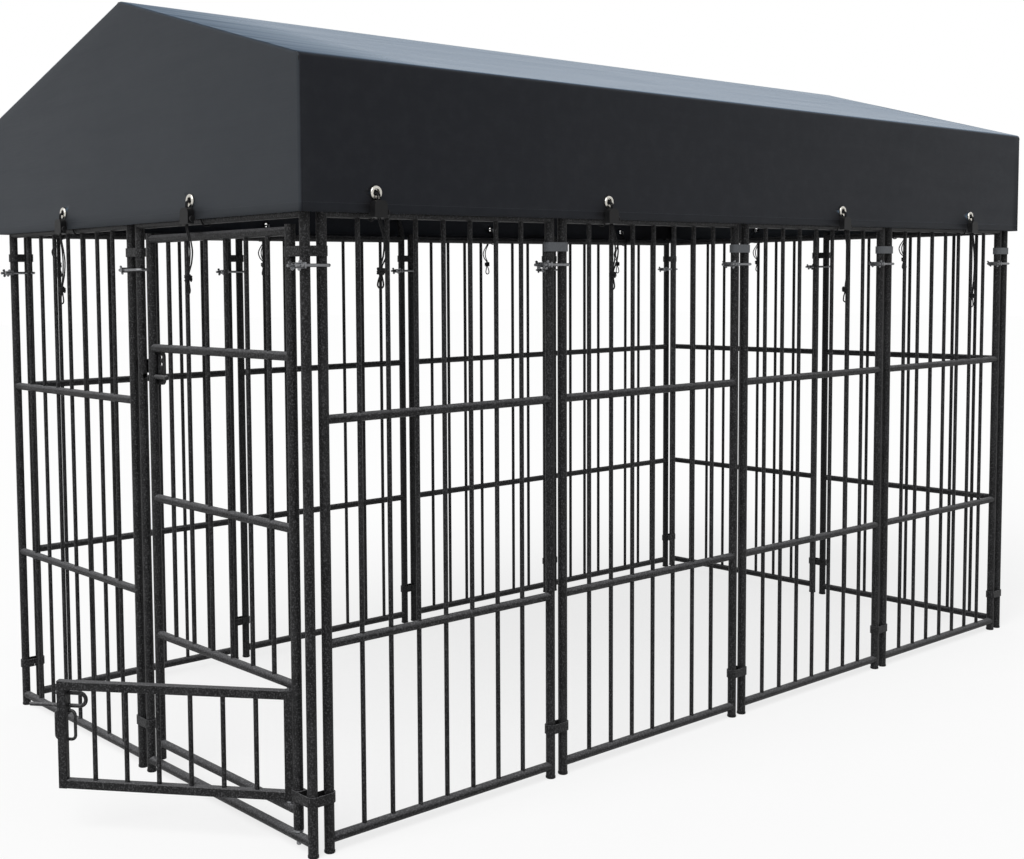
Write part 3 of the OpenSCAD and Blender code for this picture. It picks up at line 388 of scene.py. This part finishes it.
def gable_top(off):
    """Upper outline of the cover set inwards by off, from eave to eave; y is from the middle."""
    eave_y = RUN_W / 2 + COVER_GAP - EAVE_R
    eave_z = EAVE_Z + EAVE_R * (math.tan(SLOPE) - 1 / math.cos(SLOPE))
    ridge_z = RIDGE_Z - RIDGE_R / math.cos(SLOPE)
    deg = math.degrees(SLOPE)
    left = arc(-eave_y, eave_z, EAVE_R - off, 180, 90 + deg)
    ridge = arc(0, ridge_z, RIDGE_R - off, 90 + deg, 90 - deg)
    right = arc(eave_y, eave_z, EAVE_R - off, 90 - deg, 0)
    return left + between(left[-1], ridge[0]) + ridge + between(ridge[-1], right[0]) + right


def cross_section(off):
    """Outline set inwards by off: up one skirt, over the roof and down the other skirt."""
    top = gable_top(off)

    def skirt(y, z):
        return [(y, SKIRT_Z + (z - SKIRT_Z) * j / SKIRT_ROWS) for j in range(SKIRT_ROWS)]

    return skirt(*top[0]) + top + skirt(*top[-1])[::-1]


def stations():
    """Places along the run, each with how far its outline is set in to round the gables' edges."""
    first, last = -COVER_GAP, RUN_L + COVER_GAP
    edge = []
    for k in range(END_STEPS + 1):
        a = math.pi / 2 * k / END_STEPS
        edge.append((END_R * (1 - math.cos(a)), END_R * (1 - math.sin(a))))
    step = (last - first - 2 * END_R) / RUN_STEPS
    middle = [(first + END_R + step * k, 0.0) for k in range(1, RUN_STEPS)]
    return [(first + d, off) for d, off in edge] + middle + [(last - d, off) for d, off in reversed(edge)]


def ripple(place, waves, seed):
    """Soft noise between 0 and 1 at a place, with its wavelength in each of two directions."""
    return 0.5 + 0.5 * noise.noise(Vector((place[0] / waves[0], place[1] / waves[1], seed)))


def quiet(x, y, z):
    """0 at a grommet, 1 away from it."""
    place = at(x, y, z)
    reach = min((by_grommet(s, spot, 0, 0, 0) - place).length for _, s, _, spot, _ in cord_spots())
    return 1 - math.exp(-(reach * 1000 / GROMMET_HOLD) ** 2)


def slope_slack(x, z):
    """How far the roof lies inside its taut shape: it sags between the roof frames and is streaked."""
    front_fade, rear_fade, rear_share = 700, 500, 0.35
    streaks, drift, wander = 5.0, 0.0016, 2.2
    q = clamp((z - EAVE_Z) / (RIDGE_Z - EAVE_Z))
    low, high = ROOF_FRAMES[:2] if x < ROOF_FRAMES[1] else ROOF_FRAMES[1:]
    w = clamp((x - low) / (high - low))
    across = math.sin(math.pi * q)
    sag = ROOF_SAG * across * math.sin(math.pi * w)
    fade = math.exp(-max(x, 0) / front_fade) + rear_share * math.exp(-max(RUN_L - x, 0) / rear_fade)
    sway = drift * x + wander * noise.noise(Vector((x / 900, q * 3, 1.3)))
    streak = 0.5 + 0.5 * math.sin(2 * math.pi * q * streaks + sway)
    grain = ripple((x, q), (420, 1 / 9), 7.7)
    return sag + across * (ROOF_STREAK * fade * streak + ROOF_GRAIN * grain)


def skirt_slack(x, y, z):
    """How far a side skirt lies inside its taut shape: it waves more towards its lower edge."""
    q = clamp((EAVE_Z - z) / (EAVE_Z - SKIRT_Z))
    wave = ripple((x, z), (260, 340), 3.1 if y < RUN_W / 2 else 9.4)
    pull = ripple((x, z), (900, 160), 5.7)
    return (SKIRT_WAVE * wave * q + SKIRT_PULL * pull * clamp(4 * q)) * quiet(x, y, z)


def gable_slack(x, y, z):
    """How far a gable lies inside its taut shape, which it keeps near the peak."""
    wave = ripple((y, z), (300, 300), 2.2 if x < RUN_L / 2 else 6.1)
    pull = ripple((y + z, y - z), (210, 700), 8.8)
    return (GABLE_WAVE * wave + GABLE_PULL * pull) * clamp((RIDGE_Z - z) / GABLE_PEAK) * quiet(x, y, z)


def sheet_point(x, y, z, on_skirt, taut):
    """Vertex of the roof or a skirt; y is from the middle."""
    across = y + RUN_W / 2
    if taut:
        return at(x, across, z)
    if on_skirt:
        return at(x, across - math.copysign(skirt_slack(x, across, z), y), z)
    depth = slope_slack(x, z)
    return at(x, across - math.copysign(depth * math.sin(SLOPE), y), z - depth * math.cos(SLOPE))


def gable_columns(verts, ring, x, off, inward):
    """Columns of a gable from its lower edge up to the roof, each vertex's number with its UV.

    The edges are the ring's own vertices, and those between them are added to verts.
    """
    uv_shift = 7
    top = gable_top(off)
    columns = []
    for i, (y, z_top) in enumerate(top):
        column = []
        for j in range(SKIRT_ROWS + 1):
            z = SKIRT_Z + (z_top - SKIRT_Z) * j / SKIRT_ROWS
            if j == SKIRT_ROWS:
                number = ring[SKIRT_ROWS + i][0]
            elif i == 0:
                number = ring[j][0]
            elif i == len(top) - 1:
                number = ring[-1 - j][0]
            else:
                number = len(verts)
                edge = clamp(min(y - top[0][0], top[-1][0] - y, z_top - z) / GABLE_EDGE)
                depth = gable_slack(x, y + RUN_W / 2, z) * edge
                verts.append(at(x + inward * depth, y + RUN_W / 2, z))
            column.append((number, (y / 1000 + uv_shift, z / 1000)))
        columns.append(column)
    return columns


def make_cover():
    """Outer face of the cover: a strip round the cross-section, closed by the two gables."""
    verts, faces, uvs, rings = [], [], [], []

    def add_face(corners):
        faces.append(tuple(number for number, uv in corners))
        uvs.append(tuple(uv for number, uv in corners))

    places = stations()
    for x, off in places:
        section = cross_section(off)
        run, ring = 0.0, []
        for i, (y, z) in enumerate(section):
            run += math.dist(section[max(i - 1, 0)], (y, z))
            ring.append((len(verts), (x / 1000, run / 1000)))
            on_skirt = i < SKIRT_ROWS or i >= len(section) - SKIRT_ROWS
            verts.append(sheet_point(x, y, z, on_skirt, taut=off > 0))
        rings.append(ring)
    for a, b in zip(rings, rings[1:]):
        for j in range(len(a) - 1):
            add_face((a[j], b[j], b[j + 1], a[j + 1]))
    for end, inward in ((0, 1), (-1, -1)):
        columns = gable_columns(verts, rings[end], *places[end], inward)
        for a, b in zip(columns, columns[1:]):
            for j in range(SKIRT_ROWS):
                add_face((a[j], b[j], b[j + 1], a[j + 1])[::-inward])
    return new_object("rain_cover", verts, faces, uvs)


def thicken_and_pierce(cover):
    """Gives the sheet its thickness and cuts the holes that the grommets line."""
    reach, sides = 20, 32
    solid = cover.modifiers.new("thickness", "SOLIDIFY")
    solid.thickness = COVER_T / 1000
    solid.offset = -1.0
    solid.use_even_offset = True
    punches = []
    for _, s, _, x, _ in cord_spots():
        path = [by_grommet(s, x, 0, out, 0) for out in (reach, 0, -reach)]
        punches.append((path, GROMMET_HOLE / 2000, sides))
    cutter = tubes_object("cutter", punches)
    cut = cover.modifiers.new("holes", "BOOLEAN")
    cut.operation = "DIFFERENCE"
    cut.solver = "EXACT"
    cut.object = cutter
    depsgraph = bpy.context.evaluated_depsgraph_get()
    mesh = bpy.data.meshes.new_from_object(cover.evaluated_get(depsgraph), depsgraph=depsgraph)
    cover.modifiers.clear()
    cover.data = mesh
    bpy.data.objects.remove(cutter)


cover = make_cover()
thicken_and_pierce(cover)
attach(cover, "frame")
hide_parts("cover")
wears(cover, "cover_cloth")


# Materials
class Nodes:
    """A node tree, with short calls for its nodes."""

    def __init__(self, tree):
        self.tree = tree

    def node(self, kind, **values):
        """New node; a value goes to the input of that name, or else to the node's own setting."""
        n = self.tree.nodes.new(kind)
        for key, value in values.items():
            if key in n.inputs:
                n.inputs[key].default_value = value
            else:
                setattr(n, key, value)
        return n

    def link(self, a, b):
        self.tree.links.new(a, b)

    def coord(self, kind="Object"):
        return self.node("ShaderNodeTexCoord").outputs[kind]

    def split(self, vector):
        n = self.node("ShaderNodeSeparateXYZ")
        self.link(vector, n.inputs[0])
        return tuple(n.outputs)

    def mapped(self, vector, scale):
        n = self.node("ShaderNodeMapping", Scale=scale)
        self.link(vector, n.inputs["Vector"])
        return n.outputs["Vector"]

    def noise(self, vector, scale, detail=3.0, rough=0.5):
        n = self.node("ShaderNodeTexNoise", Scale=scale, Detail=detail, Roughness=rough)
        self.link(vector, n.inputs["Vector"])
        return n.outputs["Fac"]

    def ramp(self, fac, *stops):
        n = self.node("ShaderNodeValToRGB")
        for element, (position, value) in zip(n.color_ramp.elements, stops):
            element.position = position
            element.color = (value, value, value, 1)
        self.link(fac, n.inputs["Fac"])
        return n.outputs["Color"]

    def math(self, operation, a, b=0.0):
        n = self.node("ShaderNodeMath", operation=operation)
        for socket, value in zip(n.inputs, (a, b)):
            if isinstance(value, (int, float)):
                socket.default_value = value
            else:
                self.link(value, socket)
        return n.outputs[0]

    def scaled(self, value, factor, plus=None):
        product = self.math("MULTIPLY", value, factor)
        return product if plus is None else self.math("ADD", product, plus)

    def rest(self, value):
        """What is left of 1."""
        return self.math("SUBTRACT", 1.0, value)

    def within(self, value, middle, half):
        """1 where the value lies less than half away from the middle."""
        return self.math("LESS_THAN", self.math("ABSOLUTE", self.math("SUBTRACT", value, middle)), half)

    def mix(self, fac, a, b):
        """Mix of two colours, each a socket or three numbers."""
        n = self.node("ShaderNodeMix", data_type="RGBA")
        self.link(fac, n.inputs[0])
        for socket, value in ((n.inputs[6], a), (n.inputs[7], b)):
            if isinstance(value, tuple):
                socket.default_value = (*value, 1)
            else:
                self.link(value, socket)
        return n.outputs[2]

    def mix_shaders(self, fac, a, b):
        n = self.node("ShaderNodeMixShader")
        for socket, value in zip(n.inputs, (fac, a.outputs[0], b.outputs[0])):
            self.link(value, socket)
        return n.outputs[0]

    def bump(self, height, strength, distance, normal=None):
        n = self.node("ShaderNodeBump", Strength=strength, Distance=distance)
        self.link(height, n.inputs["Height"])
        if normal is not None:
            self.link(normal, n.inputs["Normal"])
        return n.outputs["Normal"]

    def seen(self):
        """1 for rays that see the background: the camera's, and those off gloss or through glass."""
        rays = self.node("ShaderNodeLightPath").outputs
        seen = self.math("MAXIMUM", rays["Is Camera Ray"], rays["Is Glossy Ray"])
        return self.math("MAXIMUM", seen, rays["Is Transmission Ray"])


class Finish(Nodes):
    """A material and the node tree of its shader."""

    def __init__(self, name):
        self.mat = bpy.data.materials.new(name)
        self.mat.use_nodes = True
        super().__init__(self.mat.node_tree)
        self.bsdf = self.tree.nodes["Principled BSDF"]

    def set(self, **values):
        for key, value in values.items():
            self.bsdf.inputs[key.replace("_", " ")].default_value = value

    def to(self, key, output):
        self.link(output, self.bsdf.inputs[key])


def times(factor, colour):
    return tuple(factor * v for v in colour)


def hammered(name, dark, light, rough, spec=0.13, near=None):
    """Hammered powder coat with painted glints and painted light on its upper faces; near is a paler tone
    painted on what stands on the near side, as painted light.
    """
    m = Finish(name)
    place = m.coord()
    cells = m.node("ShaderNodeTexVoronoi", feature="SMOOTH_F1", Scale=210, Smoothness=0.6)
    m.link(place, cells.inputs["Vector"])
    lumps = m.noise(place, 260, 3.0, 0.6)
    # lighter flecks, partly the coat's own flake and partly painted glints where the lumps catch the light
    glint = m.ramp(lumps, (0.50, 0.0), (0.66, 1.0))
    tone = m.mix(m.scaled(glint, 0.72), dark, light)
    # painted light: upper faces are painted paler, as if lit from above, together with the glints
    upward = m.ramp(m.split(m.coord("Normal"))[2], (0.20, 0.0), (0.85, 1.0))
    dust_and_top_light = m.math("MULTIPLY", upward, m.scaled(glint, 0.55, 0.40))
    tone = m.mix(dust_and_top_light, tone, times(2.6, light))
    wear = m.ramp(m.noise(place, 11, 4.0), (0.42, 0.0), (0.78, 1.0))
    tone = m.mix(m.scaled(wear, 0.16), tone, light)
    # painted light: on the near side the coat is painted paler, as lit, where the rest stands in shade
    if near is not None:
        near_y = -0.70
        on_near = m.math("LESS_THAN", m.split(place)[1], near_y)
        paler = m.mix(m.scaled(glint, 0.5), near, times(1.5, near))
        tone = m.mix(on_near, tone, paler)
    m.to("Base Color", tone)
    m.to("Roughness", m.scaled(lumps, 0.24, rough))
    dents = m.bump(cells.outputs["Distance"], 0.6, 0.0014)
    m.to("Normal", m.bump(m.noise(place, 1100, 2.0), 0.25, 0.0004, dents))
    m.set(Specular_IOR_Level=spec)
    return m.mat


def plated(name, colour, dark, rough, inside_shade=None):
    """Plated metal with fine spangle and handling marks; under is a dark tone painted on it inside the
    cover, as painted shade.
    """
    m = Finish(name)
    place = m.coord()
    cells = m.node("ShaderNodeTexVoronoi", Scale=420)
    m.link(place, cells.inputs["Vector"])
    spangle = m.node("ShaderNodeSeparateColor")
    m.link(cells.outputs["Color"], spangle.inputs[0])
    stain = m.ramp(m.noise(place, 70, 5.0, 0.6), (0.40, 0.0), (0.72, 1.0))
    tone = m.mix(m.scaled(spangle.outputs[0], 0.35), colour, dark)
    tone = m.mix(m.scaled(stain, 0.5), tone, dark)
    # painted shade: inside the cover the metal is painted dark
    if inside_shade is not None:
        x, y, _ = m.split(place)
        inner = COVER_GAP - COVER_T / 2
        in_x = m.within(x, (X0 + RUN_L / 2) / 1000, (RUN_L / 2 + inner) / 1000)
        in_y = m.within(y, 0.0, (RUN_W / 2 + inner) / 1000)
        tone = m.mix(m.math("MULTIPLY", in_x, in_y), tone, inside_shade)
    m.to("Base Color", tone)
    m.to("Roughness", m.scaled(stain, 0.2, rough))
    m.to("Normal", m.bump(m.noise(place, 1400, 2.0), 0.12, 0.0002))
    m.set(Metallic=1.0)
    return m.mat


def plastic(name):
    """Moulded black plastic with a fine spark-eroded grain."""
    m = Finish(name)
    place = m.coord()
    smear = m.noise(place, 90, 4.0)
    m.to("Base Color", m.mix(smear, (0.004, 0.004, 0.0045), (0.010, 0.010, 0.0105)))
    m.to("Roughness", m.scaled(smear, 0.25, 0.30))
    m.to("Normal", m.bump(m.noise(place, 2600, 2.0), 0.3, 0.00015))
    m.set(Specular_IOR_Level=0.16)
    return m.mat


def braid(name):
    """Braided sheath of an elastic cord, with its strands counted round it and along each metre."""
    strands_round, strands_along = 8.0, 420.0
    m = Finish(name)
    around, along, _ = m.split(m.coord("UV"))
    turn, run = m.scaled(around, strands_round), m.scaled(along, strands_along)
    one_way = m.math("SINE", m.scaled(m.math("ADD", turn, run), 2 * math.pi))
    other_way = m.math("SINE", m.scaled(m.math("SUBTRACT", turn, run), 2 * math.pi))
    height = m.ramp(m.math("MAXIMUM", one_way, other_way), (0.0, 0.0), (1.0, 1.0))
    # painted shade: the grooves between the strands are painted darker than the raised strands
    m.to("Base Color", m.mix(height, (0.003, 0.003, 0.0035), (0.010, 0.010, 0.011)))
    m.to("Roughness", m.scaled(m.noise(m.coord(), 500, 2.0), 0.2, 0.55))
    m.to("Normal", m.bump(height, 0.6, 0.0004))
    m.set(Specular_IOR_Level=0.12, Sheen_Weight=0.05, Sheen_Roughness=0.4)
    return m.mat


def tarpaulin(name):
    """Coated woven cover cloth with a stitched hem, soft creases and a cool sheen on the roof."""
    # Heights in metres above the lower edge, stitches to the metre, and the share of each that is bare
    hem, seam, seam_half, stitches, gap = 0.025, 0.021, 0.0006, 240.0, 0.28
    door_end = 1.47
    m = Finish(name)
    uv, place = m.coord("UV"), m.coord()
    x, y, z = m.split(place)
    toward_x, _, toward_z = m.split(m.coord("Normal"))
    roof = m.ramp(toward_z, (0.35, 0.0), (0.80, 1.0))
    end = m.ramp(m.math("ABSOLUTE", toward_x), (0.45, 0.0), (0.85, 1.0))

    # Weave, creases and the stitched hem
    threads = []
    for direction in ("X", "Y"):
        thread = m.node("ShaderNodeTexWave", wave_type="BANDS", bands_direction=direction,
                        wave_profile="SIN", Scale=180, Distortion=0.6)
        m.link(uv, thread.inputs["Vector"])
        threads.append(thread.outputs["Fac"])
    weave = m.math("MULTIPLY", *threads)
    creases = m.noise(m.mapped(uv, (1.2, 9.0, 1.0)), 2.4, 5.0, 0.55)
    rise = m.math("SUBTRACT", z, SKIRT_Z / 1000)
    dash = m.math("GREATER_THAN", m.math("FRACT", m.scaled(m.math("ADD", x, y), stitches)), gap)
    stitch = m.math("MULTIPLY", m.within(rise, seam, seam_half), dash)
    fold = m.math("LESS_THAN", rise, hem)
    normal = m.bump(m.math("MULTIPLY", creases, m.rest(m.scaled(roof, 0.75))), 0.20, 0.010)
    normal = m.bump(m.math("MULTIPLY", weave, m.rest(m.scaled(roof, 0.9))), 0.18, 0.0002, normal)
    m.to("Normal", m.bump(m.math("ADD", m.scaled(fold, 0.6), stitch), 0.35, 0.0006, normal))

    # Colour, with dust, the thread of the seam, and gables painted paler than the side skirts as painted
    # light
    broad = m.noise(place, 1.3, 3.0)
    dust_and_top_light = m.ramp(m.noise(place, 22, 6.0, 0.65), (0.45, 0.0), (0.80, 1.0))
    # painted light: the gables are painted paler as if lit, the side skirts darker as if in shade
    side = m.mix(broad, (0.0120, 0.0114, 0.0126), (0.0165, 0.0156, 0.0168))
    gable = m.mix(broad, (0.0268, 0.0285, 0.0315), (0.0330, 0.0350, 0.0382))
    tone = m.mix(end, side, gable)
    tone = m.mix(m.scaled(dust_and_top_light, 0.12), tone, (0.048, 0.050, 0.054))
    m.to("Base Color", m.mix(m.scaled(stitch, 0.3), tone, (0.055, 0.056, 0.060)))

    # Gloss: the roof is slick, with more streaks near the door end
    streaks = m.noise(m.mapped(uv, (0.7, 16.0, 1.0)), 1.6, 4.0, 0.6)
    front = m.ramp(m.math("ADD", x, door_end), (0.0, 1.0), (0.42, 0.0))
    slick = m.scaled(streaks, 0.16, 0.145)
    slick = m.math("ADD", slick, m.math("MULTIPLY", front, m.scaled(streaks, 0.40)))
    rough = m.math("MULTIPLY", m.scaled(creases, 0.12, 0.40), m.rest(roof))
    rough = m.math("ADD", rough, m.math("MULTIPLY", slick, roof))
    m.to("Roughness", m.math("ADD", rough, m.scaled(weave, 0.05)))
    m.to("Metallic", m.scaled(roof, 0.42))
    m.set(Specular_IOR_Level=0.10, Specular_Tint=(0.36, 0.64, 0.98, 1),
          Sheen_Weight=0.25, Sheen_Roughness=0.25, Sheen_Tint=(0.36, 0.56, 0.80, 1))
    return m.mat


COAT_DARK, COAT_LIGHT = (0.0046, 0.0046, 0.0049), (0.066, 0.066, 0.069)
BY_SLOT = {
    "hammered_coat": hammered("hammered_coat", COAT_DARK, COAT_LIGHT, 0.34),
    "bolt_coat": hammered("bolt_coat", (0.010, 0.010, 0.0105), (0.085, 0.085, 0.088), 0.30, spec=0.2),
    "zinc_plate": plated("zinc_plate", (0.235, 0.24, 0.25), (0.11, 0.11, 0.115), 0.34),
    "nickel": plated("nickel", (0.66, 0.64, 0.59), (0.38, 0.36, 0.32), 0.16, inside_shade=(0.020, 0.020, 0.021)),
    "black_plastic": plastic("black_plastic"),
    "elastic_cord": braid("elastic_cord"),
    "cover_cloth": tarpaulin("cover_cloth"),
}
# Coat of the upper straps, painted paler on the near side as painted light
strap_coat = hammered("strap_coat", COAT_DARK, COAT_LIGHT, 0.36, near=(0.085, 0.090, 0.097))


def dress(obj, mat):
    obj.data.materials.clear()
    obj.data.materials.append(mat)


for row in frame["record"]["subparts"]:
    dress(frame["nodes"][row["node"]], BY_SLOT[row["material_slot"]])
dress(frame["nodes"]["upper_straps"], strap_coat)
for piece, slot in made:
    dress(piece, BY_SLOT[slot])


# Floor, background and light
def make_floor():
    corners = [(x * FLOOR_HALF, y * FLOOR_HALF, 0) for x, y in ((-1, -1), (1, -1), (1, 1), (-1, 1))]
    floor = new_object("floor", corners, [(0, 1, 2, 3)], smooth=False)
    m = Finish("floor_paper")
    paper = m.node("ShaderNodeBsdfDiffuse")
    grain = m.noise(m.coord(), 3.0, 4.0)
    m.link(m.mix(grain, (0.90, 0.90, 0.90), (0.94, 0.94, 0.94)), paper.inputs["Color"])
    white = m.node("ShaderNodeEmission")
    surface = m.mix_shaders(m.scaled(m.seen(), FLOOR_WHITE), paper, white)
    m.link(surface, m.tree.nodes["Material Output"].inputs["Surface"])
    floor.data.materials.append(m.mat)


def make_world():
    world = bpy.data.worlds.new("studio")
    bpy.context.scene.world = world
    world.use_nodes = True
    w = Nodes(world.node_tree)
    w.tree.nodes.clear()
    fill = w.node("ShaderNodeBackground", Color=(1, 1, 1, 1), Strength=FILL_STRENGTH)
    back = w.node("ShaderNodeBackground", Color=(1, 1, 1, 1), Strength=BACK_STRENGTH)
    out = w.node("ShaderNodeOutputWorld")
    w.link(w.mix_shaders(w.seen(), fill, back), out.inputs["Surface"])


def make_key_light():
    data = bpy.data.lights.new("key", "SUN")
    data.energy = KEY_STRENGTH
    data.angle = math.radians(KEY_ANGLE)
    key = bpy.data.objects.new("key", data)
    key.rotation_mode = "QUATERNION"
    key.rotation_quaternion = Vector(KEY_TOWARDS).to_track_quat("-Z", "Y")
    bpy.context.scene.collection.objects.link(key)


make_floor()
make_world()
make_key_light()
bpy.context.scene.view_settings.view_transform = "Standard"
